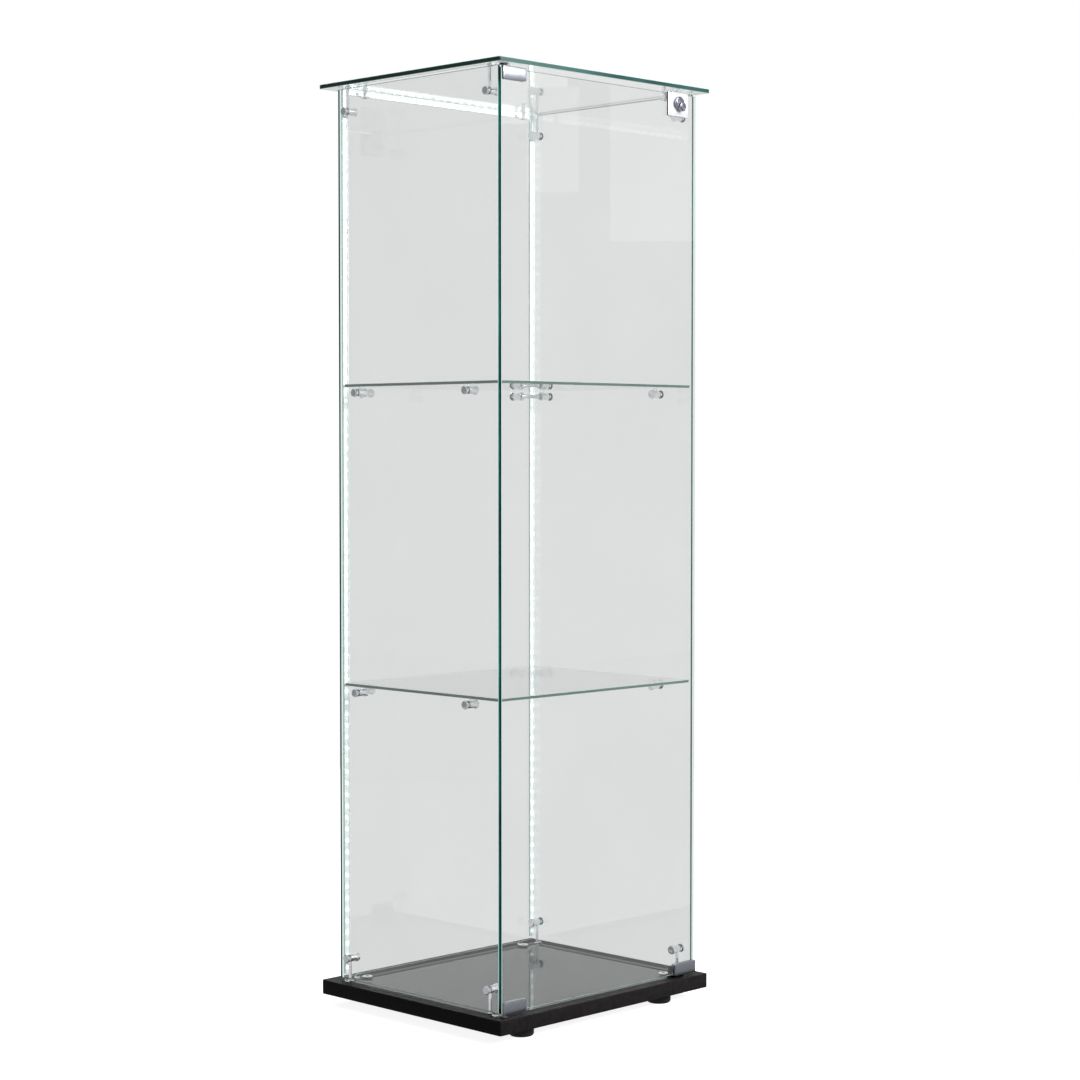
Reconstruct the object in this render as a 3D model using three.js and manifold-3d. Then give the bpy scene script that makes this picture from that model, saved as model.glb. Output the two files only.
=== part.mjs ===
// Free-standing glass display case: a black board base on four round feet, four glass
// walls and a glass top held by turned metal connectors, one hinged and lockable glass
// door, two loose glass shelves and an LED strip along the back.
// Millimetres, +Z up. The origin is on the floor under the middle of the base, the door
// faces -Y and its hinges are on the -X side.
import * as THREE from 'three';
import { mergeVertices } from 'three/addons/utils/BufferGeometryUtils.js';
import Module from 'manifold-3d';

const wasm = await Module();
wasm.setup();

// ---------------------------------------------------------------- driving dimensions
const GAP = 0.3; // between pieces that touch in the real case

const CASE_WIDTH = 425;
const CASE_DEPTH = 370;
const CASE_HEIGHT = 1324; // floor to the upper face of the top glass
const CORNER_RADIUS = 3;

const FOOT = { radius: 17.5, height: 15, x: 141, y: 153 };
const BOARD_THICKNESS = 20.5;
const TOP_THICKNESS = 6;
const PANE_THICKNESS = 4; // walls, door and shelves

const WALL_X = 197; // outer face of each side wall
const WALL_BACK_Y = 161.3; // outer face of the back wall
const DOOR_FRONT_Y = -172; // outer face of the door
const DOOR_TO_WALL = 2.5; // air gap that lets the door swing
const WALL_BOTTOM_GAP = 4.5;
const WALL_TOP_GAP = 1.5;
const DOOR_BOTTOM_GAP = 5;
const DOOR_TOP_GAP = 5.2;

const BOARD_TOP = FOOT.height + BOARD_THICKNESS;
const TOP_UNDERSIDE = CASE_HEIGHT - TOP_THICKNESS;
const WALL_LOW_Z = BOARD_TOP + WALL_BOTTOM_GAP;
const WALL_HIGH_Z = TOP_UNDERSIDE - WALL_TOP_GAP;
const DOOR_LOW_Z = BOARD_TOP + DOOR_BOTTOM_GAP;
const DOOR_HIGH_Z = TOP_UNDERSIDE - DOOR_TOP_GAP;
const DOOR_BACK_Y = DOOR_FRONT_Y + PANE_THICKNESS;
const WALL_FRONT_Y = DOOR_BACK_Y + DOOR_TO_WALL;
const BACK_INNER_Y = WALL_BACK_Y - PANE_THICKNESS;

// Turned connectors: a cap outside the wall, a stud through it and a barrel inside.
const CONNECTOR = {
  capRadius: 6.1, capLength: 3.3, studRadius: 3.5, barrelRadius: 5.2, barrelLength: 17,
  flangeRadius: 6.4, flangeLength: 4,
};
const STUD_HOLE_RADIUS = 4;
const BOLT_RADIUS = 2.4;
const BOLT_HOLE_RADIUS = 2.6;
const GLASS_HOLE_RADIUS = 3;
const BOLT_CAP = { radius: 6, height: 2.2 };
const BOLT_HEAD = { radius: 5, height: 3.4 };
const HEAD_POCKET = { radius: 5.6, depth: 4 };
const BOLT_X = 189.6; // the upright bolts run beside the side walls
const CORNER_FRONT_Y = -143.7;
const CORNER_BACK_Y = 146.5;
const CORNER_REACH = 33.8; // from base or top glass to the connector's axis
const SHELF_BACK_Y = 126.2;
const TIE = { x: 151.5, radius: 2.9 }; // shelf tie: a barrel on the back wall and its rod
const SHELF_FRONT_Y = -102.4;
const SHELF_ABOVE_AXIS = 8.5; // connector axis to the shelf's underside
const SHELF_LEVELS = { lower: 463.5, upper: 892.5 }; // undersides
const SHELF = { halfWidth: 192, frontY: -164, backY: 153.5 };

const STUD = { x: 158, y: 145, shankRadius: 3.2, flangeRadius: 7.7, flangeThickness: 1.8 };
const FLOOR_STUD_HEIGHT = 3.5;
const TOP_STUD_DROP = 12;
const TOP_PAD = { radius: 4.6, thickness: 1.2 }; // bonded face of the studs under the top
const FLOOR_STUD_DEPTH = 10; // of the shank in the board

const LED = { outerX: 192.7, width: 10.5, topWidth: 8, thickness: 2.8 };
const LED_LOW_MARGIN = 6;

const PIVOT = { x: -WALL_X + 4.5, y: DOOR_FRONT_Y + 0.5 };
const PIN_RADIUS = 2.5;
const BUSH = { boreRadius: 2.65, spigotRadius: 4.2, holeRadius: 4.5, flangeRadius: 5.6 };
const BUSH_FLANGE = 1.8;
const LOWER_BUSH_DEPTH = 10.5;
const CLAMP = { front: 1.9, back: 1.7, web: 2, width: 42.5, lap: 15.5, inset: 2.5, backInset: 5 };
const CLIP = { front: 2.5, back: 1.8, web: 1.7, width: 44, lap: 15.5 };
const MAGNET = { width: 26, depth: 12, height: 14.2, x: 171 };

const LOCK = { lowX: 134, highX: 176, lowZ: 1280, highZ: 1314, plate: 2.5 };
const LOCK_BOSS = { x: 155, z: 1299.5, radius: 9, height: 4.5 };
const PLUG = { x: 158.5, z: 1294, radius: 5, collarRadius: 6.6, collarHeight: 7, proud: 0.8 };
const BARREL = { radius: 8.5, holeRadius: 9 };
const PLUG_BORE_RADIUS = 5.15;
const LOCK_BACK = { lowX: 138, highX: 176, lowZ: 1281, highZ: 1304, thickness: 1.5 };
const CAM = { length: 19, width: 9, thickness: 2, screwRadius: 3.4, screwHeight: 1.6 };
const KEYWAY = { width: 1.1, height: 6, depth: 2.5 };
const STRIKE = { lowX: 150, highX: 172, backY: -150, plate: 1.5, tongue: 1.3, drop: 10.7 };

const ROUND_SIDES = 12;
const SMALL_SIDES = 10;
const PIVOT_SIDES = 20; // hinge pins, lock and their bores
const FOOT_SIDES = 24;
const CUT = 1; // how far a cutting tool runs past the faces that it cuts

// ---------------------------------------------------------------- solids
function toSolid(geometry) {
  const bare = geometry.clone();
  bare.deleteAttribute('normal');
  bare.deleteAttribute('uv');
  const merged = mergeVertices(bare, 1e-4);
  const corners = merged.index.array;
  const kept = [];
  for (let i = 0; i < corners.length; i += 3) {
    const [a, b, c] = corners.slice(i, i + 3);
    if (a !== b && b !== c && c !== a) kept.push(a, b, c);
  }
  return new wasm.Manifold(new wasm.Mesh({
    numProp: 3,
    vertProperties: new Float32Array(merged.attributes.position.array),
    triVerts: new Uint32Array(kept),
  }));
}

function toGeometry(solid) {
  const raw = solid.getMesh();
  const positions = new Float32Array((raw.vertProperties.length / raw.numProp) * 3);
  for (let i = 0; i < positions.length / 3; i += 1) {
    for (let k = 0; k < 3; k += 1) positions[3 * i + k] = raw.vertProperties[raw.numProp * i + k];
  }
  const geometry = new THREE.BufferGeometry();
  geometry.setAttribute('position', new THREE.BufferAttribute(positions, 3));
  geometry.setIndex(new THREE.BufferAttribute(new Uint32Array(raw.triVerts), 1));
  geometry.computeVertexNormals();
  return geometry;
}

function join(...pieces) {
  return pieces.reduce((whole, piece) => whole.add(piece));
}

function cut(body, ...tools) {
  return tools.reduce((rest, tool) => rest.subtract(tool), body);
}

// A box given by its lowest and highest corners.
function block(low, high) {
  const size = low.map((value, i) => high[i] - value);
  const middle = low.map((value, i) => (high[i] + value) / 2);
  return toSolid(new THREE.BoxGeometry(...size).translate(...middle));
}

// A rod from one level to another along X, Y or Z, centred on the other two values.
function rod(axis, centre, low, high, radius, sides = SMALL_SIDES) {
  return turned(axis, centre, [[radius, low], [radius, high]], sides);
}

// A solid of revolution along X, Y or Z. The profile lists [radius, level] from the lowest
// level up, and centre gives the axis's place in the other two directions, in X, Y, Z order.
function turned(axis, centre, profile, sides = ROUND_SIDES) {
  const levels = profile.map(([, level]) => level);
  const points = [
    new THREE.Vector2(0, levels[0]),
    ...profile.map(([radius, level]) => new THREE.Vector2(radius, level)),
    new THREE.Vector2(0, levels[levels.length - 1]),
  ];
  const geometry = new THREE.LatheGeometry(points, sides);
  const [first, second] = centre;
  if (axis === 'x') geometry.rotateZ(-Math.PI / 2).translate(0, first, second);
  else if (axis === 'y') geometry.translate(first, 0, second);
  else geometry.rotateX(Math.PI / 2).translate(first, second, 0);
  return toSolid(geometry);
}

// A plate with rounded vertical corners and a small bevel on its edges.
function roundedPlate(width, depth, lowZ, highZ, radius, bevel) {
  const x = width / 2 - bevel;
  const y = depth / 2 - bevel;
  const shape = new THREE.Shape();
  shape.moveTo(-x + radius, -y);
  shape.lineTo(x - radius, -y);
  shape.absarc(x - radius, -y + radius, radius, -Math.PI / 2, 0);
  shape.absarc(x - radius, y - radius, radius, 0, Math.PI / 2);
  shape.absarc(-x + radius, y - radius, radius, Math.PI / 2, Math.PI);
  shape.absarc(-x + radius, -y + radius, radius, Math.PI, 1.5 * Math.PI);
  const geometry = new THREE.ExtrudeGeometry(shape, {
    depth: highZ - lowZ - 2 * bevel, bevelEnabled: true, bevelSegments: 1,
    bevelSize: bevel, bevelThickness: bevel, curveSegments: 2,
  });
  return toSolid(geometry.translate(0, 0, lowZ + bevel));
}

// ---------------------------------------------------------------- scene graph
const FINISHES = {
  blackBoard: { color: 0x1c1b1c, roughness: 0.35, metalness: 0 },
  rubber: { color: 0x101010, roughness: 0.8, metalness: 0 },
  glass: { color: 0xbfe0d6, roughness: 0.05, metalness: 0, transparent: true, opacity: 0.3 },
  chrome: { color: 0xc4c6ca, roughness: 0.15, metalness: 1 },
  satin: { color: 0x9a98a4, roughness: 0.35, metalness: 1 },
  led: { color: 0xfdfefe, roughness: 0.5, metalness: 0 },
  bush: { color: 0x38383a, roughness: 0.5, metalness: 0 },
  magnet: { color: 0x2a2a2c, roughness: 0.6, metalness: 0 },
};

const displayCase = new THREE.Group();

function addPiece(name, finish, solid) {
  const mesh = new THREE.Mesh(toGeometry(solid), new THREE.MeshStandardMaterial(FINISHES[finish]));
  mesh.name = name;
  displayCase.add(mesh);
}

const SIDES = [['left', -1], ['right', 1]];
const CORNERS = [];
for (const [side, signX] of SIDES) {
  CORNERS.push([`front_${side}`, signX, -1]);
  CORNERS.push([`back_${side}`, signX, 1]);
}
const cornerY = (signY) => (signY < 0 ? CORNER_FRONT_Y : CORNER_BACK_Y);
const shelfAxisZ = (underside) => underside - SHELF_ABOVE_AXIS;

// ---------------------------------------------------------------- base and feet
function makeBase() {
  let board = roundedPlate(CASE_WIDTH, CASE_DEPTH, FOOT.height, BOARD_TOP, CORNER_RADIUS, 0.8);
  for (const [, signX, signY] of CORNERS) {
    const bolt = [signX * BOLT_X, cornerY(signY)];
    const pocketTop = FOOT.height + HEAD_POCKET.depth;
    board = cut(
      board,
      rod('z', bolt, FOOT.height - CUT, BOARD_TOP + CUT, GLASS_HOLE_RADIUS),
      rod('z', bolt, FOOT.height - CUT, pocketTop, HEAD_POCKET.radius),
      rod('z', [signX * STUD.x, signY * STUD.y], BOARD_TOP - FLOOR_STUD_DEPTH - CUT,
        BOARD_TOP + CUT, STUD.shankRadius + GAP),
    );
  }
  const bushFloor = BOARD_TOP - LOWER_BUSH_DEPTH - CUT;
  board = cut(board, rod('z', [PIVOT.x, PIVOT.y], bushFloor, BOARD_TOP + CUT, BUSH.holeRadius));
  addPiece('base_board', 'blackBoard', board);
  for (const [corner, signX, signY] of CORNERS) {
    const place = [signX * FOOT.x, signY * FOOT.y];
    const profile = [[FOOT.radius - 1.5, 0], [FOOT.radius, 1.5], [FOOT.radius, FOOT.height]];
    addPiece(`foot_${corner}`, 'rubber', turned('z', place, profile, FOOT_SIDES));
  }
}

// ---------------------------------------------------------------- glass panes
function makeTopGlass() {
  let pane = roundedPlate(CASE_WIDTH, CASE_DEPTH, TOP_UNDERSIDE, CASE_HEIGHT, CORNER_RADIUS, 0.5);
  const through = [TOP_UNDERSIDE - CUT, CASE_HEIGHT + CUT];
  for (const [, signX, signY] of CORNERS) {
    pane = cut(pane, rod('z', [signX * BOLT_X, cornerY(signY)], ...through, GLASS_HOLE_RADIUS));
  }
  pane = cut(pane, rod('z', [PIVOT.x, PIVOT.y], ...through, BUSH.holeRadius));
  addPiece('top_glass', 'glass', pane);
}

function makeWalls() {
  for (const [side, signX] of SIDES) {
    const faces = [signX * WALL_X, signX * (WALL_X - PANE_THICKNESS)].sort((a, b) => a - b);
    let pane = block([faces[0], WALL_FRONT_Y, WALL_LOW_Z], [faces[1], BACK_INNER_Y - GAP, WALL_HIGH_Z]);
    const places = [];
    for (const z of [BOARD_TOP + CORNER_REACH, TOP_UNDERSIDE - CORNER_REACH]) {
      places.push([CORNER_FRONT_Y, z], [CORNER_BACK_Y, z]);
    }
    for (const underside of Object.values(SHELF_LEVELS)) {
      places.push([SHELF_FRONT_Y, shelfAxisZ(underside)], [SHELF_BACK_Y, shelfAxisZ(underside)]);
    }
    for (const place of places) {
      pane = cut(pane, rod('x', place, faces[0] - CUT, faces[1] + CUT, STUD_HOLE_RADIUS));
    }
    addPiece(`${side}_side_glass`, 'glass', pane);
  }
  let back = block([-WALL_X, BACK_INNER_Y, WALL_LOW_Z], [WALL_X, WALL_BACK_Y, WALL_HIGH_Z]);
  for (const [, signX] of SIDES) {
    for (const underside of Object.values(SHELF_LEVELS)) {
      const place = [signX * TIE.x, shelfAxisZ(underside)];
      back = cut(back, rod('y', place, BACK_INNER_Y - CUT, WALL_BACK_Y + CUT, STUD_HOLE_RADIUS));
    }
  }
  addPiece('back_glass', 'glass', back);
}

function makeShelves() {
  for (const [level, underside] of Object.entries(SHELF_LEVELS)) {
    const low = [-SHELF.halfWidth, SHELF.frontY, underside];
    const high = [SHELF.halfWidth, SHELF.backY, underside + PANE_THICKNESS];
    addPiece(`${level}_shelf`, 'glass', block(low, high));
  }
}

// ---------------------------------------------------------------- connectors and bolts
// Levels along a connector's axis, from the inner end of its barrel out to its cap. outerFace
// is the distance of the wall's outer face from the middle of the case.
function connectorProfile(outerFace) {
  const inner = outerFace - PANE_THICKNESS - GAP;
  const outer = outerFace + GAP;
  const end = inner - CONNECTOR.barrelLength;
  const flangeEnd = end + CONNECTOR.flangeLength;
  const outerEnd = outer + CONNECTOR.capLength;
  return [
    [CONNECTOR.flangeRadius, end], [CONNECTOR.flangeRadius, flangeEnd],
    [CONNECTOR.barrelRadius, flangeEnd], [CONNECTOR.barrelRadius, inner],
    [CONNECTOR.studRadius, inner], [CONNECTOR.studRadius, outer],
    [CONNECTOR.capRadius, outer], [CONNECTOR.capRadius, outerEnd - 1],
    [CONNECTOR.capRadius - 1, outerEnd],
  ];
}

// A connector through a side wall. signX chooses the wall.
function sideConnector(signX, y, z) {
  const ordered = connectorProfile(WALL_X).map(([radius, level]) => [radius, signX * level]);
  if (signX < 0) ordered.reverse();
  return turned('x', [y, z], ordered);
}

// A connector through the back wall with a rod that reaches to the flange of the nearest
// side connector. The rod stops one gap short of that flange.
function shelfTie(signX, z) {
  const profile = connectorProfile(WALL_BACK_Y);
  const barrelEnd = profile[0][1];
  const sideEnd = connectorProfile(WALL_X)[0][1];
  const start = [signX * TIE.x, barrelEnd + CONNECTOR.flangeLength / 2];
  const stop = [signX * (sideEnd + CUT), SHELF_BACK_Y];
  const length = Math.hypot(stop[0] - start[0], stop[1] - start[1]);
  const turn = Math.atan2(stop[1] - start[1], stop[0] - start[0]) - Math.PI / 2;
  const link = new THREE.CylinderGeometry(TIE.radius, TIE.radius, length, SMALL_SIDES);
  link.rotateZ(turn).translate((start[0] + stop[0]) / 2, (start[1] + stop[1]) / 2, z);
  const clearance = [signX * (sideEnd - GAP), signX * WALL_X].sort((a, b) => a - b);
  return cut(
    join(turned('y', [signX * TIE.x, z], profile), toSolid(link)),
    rod('x', [SHELF_BACK_Y, z], ...clearance, CONNECTOR.flangeRadius + GAP),
  );
}

function makeCornerFittings() {
  for (const [corner, signX, signY] of CORNERS) {
    const place = [signX * BOLT_X, cornerY(signY)];
    const lowZ = BOARD_TOP + CORNER_REACH;
    const highZ = TOP_UNDERSIDE - CORNER_REACH;
    const lowBarrel = cut(
      sideConnector(signX, place[1], lowZ),
      rod('z', place, lowZ - 2 * CONNECTOR.barrelRadius, lowZ + BOLT_HOLE_RADIUS, BOLT_HOLE_RADIUS),
    );
    const highBarrel = cut(
      sideConnector(signX, place[1], highZ),
      rod('z', place, highZ - BOLT_HOLE_RADIUS, highZ + 2 * CONNECTOR.barrelRadius, BOLT_HOLE_RADIUS),
    );
    addPiece(`bottom_connector_${corner}`, 'chrome', lowBarrel);
    addPiece(`top_connector_${corner}`, 'chrome', highBarrel);
    const headLow = FOOT.height + GAP;
    addPiece(`bottom_bolt_${corner}`, 'chrome', turned('z', place, [
      [BOLT_HEAD.radius, headLow], [BOLT_HEAD.radius, headLow + BOLT_HEAD.height],
      [BOLT_RADIUS, headLow + BOLT_HEAD.height], [BOLT_RADIUS, lowZ + BOLT_RADIUS - GAP],
    ], SMALL_SIDES));
    const capLow = CASE_HEIGHT + GAP;
    addPiece(`top_bolt_${corner}`, 'chrome', turned('z', place, [
      [BOLT_RADIUS, highZ - BOLT_RADIUS + GAP], [BOLT_RADIUS, capLow],
      [BOLT_CAP.radius, capLow], [BOLT_CAP.radius - 1.2, capLow + BOLT_CAP.height],
    ], SMALL_SIDES));
  }
}

function makeShelfFittings() {
  for (const [level, underside] of Object.entries(SHELF_LEVELS)) {
    const z = shelfAxisZ(underside);
    for (const [side, signX] of SIDES) {
      addPiece(`${level}_shelf_connector_${side}`, 'chrome', sideConnector(signX, SHELF_BACK_Y, z));
      addPiece(`${level}_shelf_tie_${side}`, 'chrome', shelfTie(signX, z));
      addPiece(`${level}_shelf_pin_${side}`, 'chrome', sideConnector(signX, SHELF_FRONT_Y, z));
    }
  }
}

// ---------------------------------------------------------------- studs and LED strip
function makeStuds() {
  for (const [corner, signX, signY] of CORNERS) {
    const place = [signX * STUD.x, signY * STUD.y];
    const floorTop = BOARD_TOP + FLOOR_STUD_HEIGHT;
    addPiece(`floor_stud_${corner}`, 'chrome', turned('z', place, [
      [STUD.shankRadius, BOARD_TOP - FLOOR_STUD_DEPTH],
      [STUD.shankRadius, floorTop - STUD.flangeThickness],
      [STUD.flangeRadius, floorTop - STUD.flangeThickness], [STUD.flangeRadius, floorTop],
    ]));
    const dropEnd = TOP_UNDERSIDE - TOP_STUD_DROP;
    addPiece(`top_stud_${corner}`, 'chrome', turned('z', place, [
      [STUD.flangeRadius, dropEnd], [STUD.flangeRadius, dropEnd + STUD.flangeThickness],
      [STUD.shankRadius, dropEnd + STUD.flangeThickness],
      [STUD.shankRadius, TOP_UNDERSIDE - GAP - TOP_PAD.thickness],
      [TOP_PAD.radius, TOP_UNDERSIDE - GAP - TOP_PAD.thickness], [TOP_PAD.radius, TOP_UNDERSIDE - GAP],
    ]));
  }
}

// One strip runs up the left end of the back wall, across under the top and down again.
function makeLedStrip() {
  const back = BACK_INNER_Y - GAP;
  const front = back - LED.thickness;
  const low = WALL_LOW_Z + LED_LOW_MARGIN;
  const high = TOP_UNDERSIDE - GAP;
  const inner = LED.outerX - LED.width;
  const frame = block([-LED.outerX, front, low], [LED.outerX, back, high]);
  const middle = block([-inner, front - CUT, low - CUT], [inner, back + CUT, high - LED.topWidth]);
  addPiece('led_strip', 'led', cut(frame, middle));
}

// ---------------------------------------------------------------- door and its hinges
function makeDoorGlass() {
  const pane = block([-WALL_X, DOOR_FRONT_Y, DOOR_LOW_Z], [WALL_X, DOOR_BACK_Y, DOOR_HIGH_Z]);
  const hole = rod('y', [PLUG.x, PLUG.z], DOOR_FRONT_Y - CUT, DOOR_BACK_Y + CUT, BARREL.holeRadius);
  addPiece('door_glass', 'glass', cut(pane, hole));
}

// A U-shaped clip over the bottom or top edge of the door. edgeZ is the glass edge and
// signZ points from it out of the glass.
function edgeClip(frontX, backX, edgeZ, signZ, walls) {
  const webFar = edgeZ + signZ * (GAP + walls.web);
  const lapEnd = edgeZ - signZ * walls.lap;
  const span = (a, b) => [Math.min(a, b), Math.max(a, b)];
  const [plateLow, plateHigh] = span(webFar, lapEnd);
  const [webLow, webHigh] = span(webFar, edgeZ + signZ * GAP);
  const frontFace = DOOR_FRONT_Y - GAP - walls.front;
  const backFace = DOOR_BACK_Y + GAP + walls.back;
  return join(
    block([frontX[0], frontFace, plateLow], [frontX[1], DOOR_FRONT_Y - GAP, plateHigh]),
    block([backX[0], DOOR_BACK_Y + GAP, plateLow], [backX[1], backFace, plateHigh]),
    block([backX[0], frontFace, webLow], [backX[1], backFace, webHigh]),
  );
}

function makeHinges() {
  const frontX = [-WALL_X + CLAMP.inset, -WALL_X + CLAMP.inset + CLAMP.width];
  const backX = [-WALL_X + CLAMP.backInset, frontX[1]];
  const pivot = [PIVOT.x, PIVOT.y];
  const lowerPinTop = DOOR_LOW_Z - GAP - CLAMP.web + CUT;
  const lowerPinEnd = BOARD_TOP - LOWER_BUSH_DEPTH + 2;
  const lowerPin = rod('z', pivot, lowerPinEnd, lowerPinTop, PIN_RADIUS, PIVOT_SIDES);
  const lowerClip = edgeClip(frontX, backX, DOOR_LOW_Z, -1, CLAMP);
  addPiece('lower_hinge_clamp', 'satin', join(lowerClip, lowerPin));
  const upperPinLow = DOOR_HIGH_Z + GAP + CLAMP.web - CUT;
  const upperPin = rod('z', pivot, upperPinLow, CASE_HEIGHT - 3, PIN_RADIUS, PIVOT_SIDES);
  const upperClip = edgeClip(frontX, backX, DOOR_HIGH_Z, 1, CLAMP);
  addPiece('upper_hinge_clamp', 'satin', join(upperClip, upperPin));

  const lowerBush = turned('z', pivot, [
    [BUSH.spigotRadius, BOARD_TOP - LOWER_BUSH_DEPTH], [BUSH.spigotRadius, BOARD_TOP + GAP],
    [BUSH.flangeRadius, BOARD_TOP + GAP], [BUSH.flangeRadius, BOARD_TOP + GAP + BUSH_FLANGE],
  ]);
  const lowerBoreEnd = BOARD_TOP - LOWER_BUSH_DEPTH + 1;
  const lowerBore = rod('z', pivot, lowerBoreEnd, BOARD_TOP + 4, BUSH.boreRadius, PIVOT_SIDES);
  addPiece('lower_hinge_bush', 'bush', cut(lowerBush, lowerBore));
  const upperBush = turned('z', pivot, [
    [BUSH.flangeRadius, TOP_UNDERSIDE - GAP - BUSH_FLANGE], [BUSH.flangeRadius, TOP_UNDERSIDE - GAP],
    [BUSH.spigotRadius, TOP_UNDERSIDE - GAP], [BUSH.spigotRadius, CASE_HEIGHT - GAP],
  ]);
  const upperBoreLow = TOP_UNDERSIDE - 4;
  const upperBore = rod('z', pivot, upperBoreLow, CASE_HEIGHT - 2, BUSH.boreRadius, PIVOT_SIDES);
  addPiece('upper_hinge_bush', 'bush', cut(upperBush, upperBore));
}

function makeMagnetCatch() {
  const clipX = [WALL_X - CLIP.width, WALL_X];
  addPiece('magnet_clip', 'satin', edgeClip(clipX, clipX, DOOR_LOW_Z, -1, CLIP));
  const seat = BOARD_TOP + GAP;
  const low = [MAGNET.x - MAGNET.width / 2, WALL_FRONT_Y, seat];
  const high = [MAGNET.x + MAGNET.width / 2, WALL_FRONT_Y + MAGNET.depth, seat + MAGNET.height];
  addPiece('magnet_catch', 'magnet', block(low, high));
}

// ---------------------------------------------------------------- lock
function makeLock() {
  const plateFront = DOOR_FRONT_Y - GAP - LOCK.plate;
  const barrelEnd = DOOR_BACK_Y + GAP + LOCK_BACK.thickness + 0.2;
  const collarFront = plateFront - PLUG.collarHeight;
  const body = join(
    block([LOCK.lowX, plateFront, LOCK.lowZ], [LOCK.highX, DOOR_FRONT_Y - GAP, LOCK.highZ]),
    rod('y', [LOCK_BOSS.x, LOCK_BOSS.z], plateFront - LOCK_BOSS.height, plateFront + CUT,
      LOCK_BOSS.radius, PIVOT_SIDES),
    rod('y', [PLUG.x, PLUG.z], collarFront, plateFront + CUT, PLUG.collarRadius, PIVOT_SIDES),
    rod('y', [PLUG.x, PLUG.z], plateFront + CUT, barrelEnd, BARREL.radius, PIVOT_SIDES),
  );
  const axis = [PLUG.x, PLUG.z];
  const bore = rod('y', axis, collarFront - CUT, barrelEnd + CUT, PLUG_BORE_RADIUS, PIVOT_SIDES);
  addPiece('lock_body', 'chrome', cut(body, bore));

  const backLow = [LOCK_BACK.lowX, DOOR_BACK_Y + GAP, LOCK_BACK.lowZ];
  const backHigh = [LOCK_BACK.highX, DOOR_BACK_Y + GAP + LOCK_BACK.thickness, LOCK_BACK.highZ];
  const backHole = rod('y', axis, DOOR_BACK_Y, DOOR_BACK_Y + 4, BARREL.radius + GAP, PIVOT_SIDES);
  addPiece('lock_back_plate', 'chrome', cut(block(backLow, backHigh), backHole));

  const plugFront = collarFront - PLUG.proud;
  const plugEnd = barrelEnd;
  const plug = rod('y', axis, plugFront, plugEnd, PLUG.radius, PIVOT_SIDES);
  const keyway = block(
    [PLUG.x - KEYWAY.width / 2, plugFront - CUT, PLUG.z - KEYWAY.height / 2],
    [PLUG.x + KEYWAY.width / 2, plugFront + KEYWAY.depth, PLUG.z + KEYWAY.height / 2],
  );
  addPiece('lock_plug', 'chrome', cut(plug, keyway));

  const camFront = plugEnd + GAP;
  const camBack = camFront + CAM.thickness;
  const hub = rod('y', axis, camFront, camBack, CAM.width / 2 + 1, PIVOT_SIDES);
  const arm = block(
    [PLUG.x, camFront, PLUG.z - CAM.width / 2],
    [PLUG.x + CAM.length, camBack, PLUG.z + CAM.width / 2],
  );
  const screw = rod('y', axis, camBack - CUT / 2, camBack + CAM.screwHeight, CAM.screwRadius);
  addPiece('lock_cam', 'satin', join(hub, arm, screw));

  const tongueFront = DOOR_BACK_Y + 0.8;
  const strikeTop = TOP_UNDERSIDE - GAP;
  const tongueBack = tongueFront + STRIKE.tongue;
  const flatLow = [STRIKE.lowX, tongueFront, strikeTop - STRIKE.plate];
  const tongueLow = [STRIKE.lowX, tongueFront, strikeTop - STRIKE.drop];
  addPiece('lock_strike', 'chrome', join(
    block(flatLow, [STRIKE.highX, STRIKE.backY, strikeTop]),
    block(tongueLow, [STRIKE.highX, tongueBack, strikeTop]),
  ));
}

makeBase();
makeTopGlass();
makeWalls();
makeShelves();
makeCornerFittings();
makeShelfFittings();
makeStuds();
makeLedStrip();
makeDoorGlass();
makeHinges();
makeMagnetCatch();
makeLock();

export default displayCase;
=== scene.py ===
"""Looks of the glass display case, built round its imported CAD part."""

import math

import bmesh
import bpy
from mathutils import Matrix, Vector


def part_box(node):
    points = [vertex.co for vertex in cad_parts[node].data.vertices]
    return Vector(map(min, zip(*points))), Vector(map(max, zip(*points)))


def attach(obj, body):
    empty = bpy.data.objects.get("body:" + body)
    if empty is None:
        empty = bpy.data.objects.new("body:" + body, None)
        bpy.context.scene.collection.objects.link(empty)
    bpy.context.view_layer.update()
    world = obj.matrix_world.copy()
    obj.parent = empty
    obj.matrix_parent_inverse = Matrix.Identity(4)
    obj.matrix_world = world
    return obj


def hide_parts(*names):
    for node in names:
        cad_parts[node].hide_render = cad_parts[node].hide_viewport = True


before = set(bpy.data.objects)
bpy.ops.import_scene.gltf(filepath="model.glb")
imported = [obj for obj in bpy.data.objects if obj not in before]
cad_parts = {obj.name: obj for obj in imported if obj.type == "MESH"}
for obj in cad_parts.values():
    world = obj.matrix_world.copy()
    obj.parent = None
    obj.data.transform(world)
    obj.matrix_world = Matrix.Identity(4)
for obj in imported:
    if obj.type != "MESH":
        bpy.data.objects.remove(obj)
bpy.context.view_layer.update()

MM = 0.001
GAP = 0.3  # clearance between a pane or the board and the metal on it, in millimetres
PANE_CORNER = 1.2
BARREL_RADIUS = 6.4
BARREL_LENGTH = 17  # from a connector's inner end to the glass
ROD_RADIUS = 2.3
TIE_RADIUS = 2.8
CONNECTOR_HOLE = 4
BOLT_HOLE = 3
BUSH_HOLE = 4.4
LOCK_HOLE = 9
CORNERS = ["front_left", "back_left", "front_right", "back_right"]
SIDES = [("left", -1), ("right", 1)]
LEVELS = ["lower", "upper"]


def box_mm(node):
    """Lowest and highest corner of a CAD node in millimetres."""
    low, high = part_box(node)
    return [v / MM for v in low], [v / MM for v in high]


def centre_of(node, first, second):
    """Middle of a CAD node along two of its axes, in millimetres."""
    low, high = box_mm(node)
    return ((low[first] + high[first]) / 2, (low[second] + high[second]) / 2)


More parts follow.
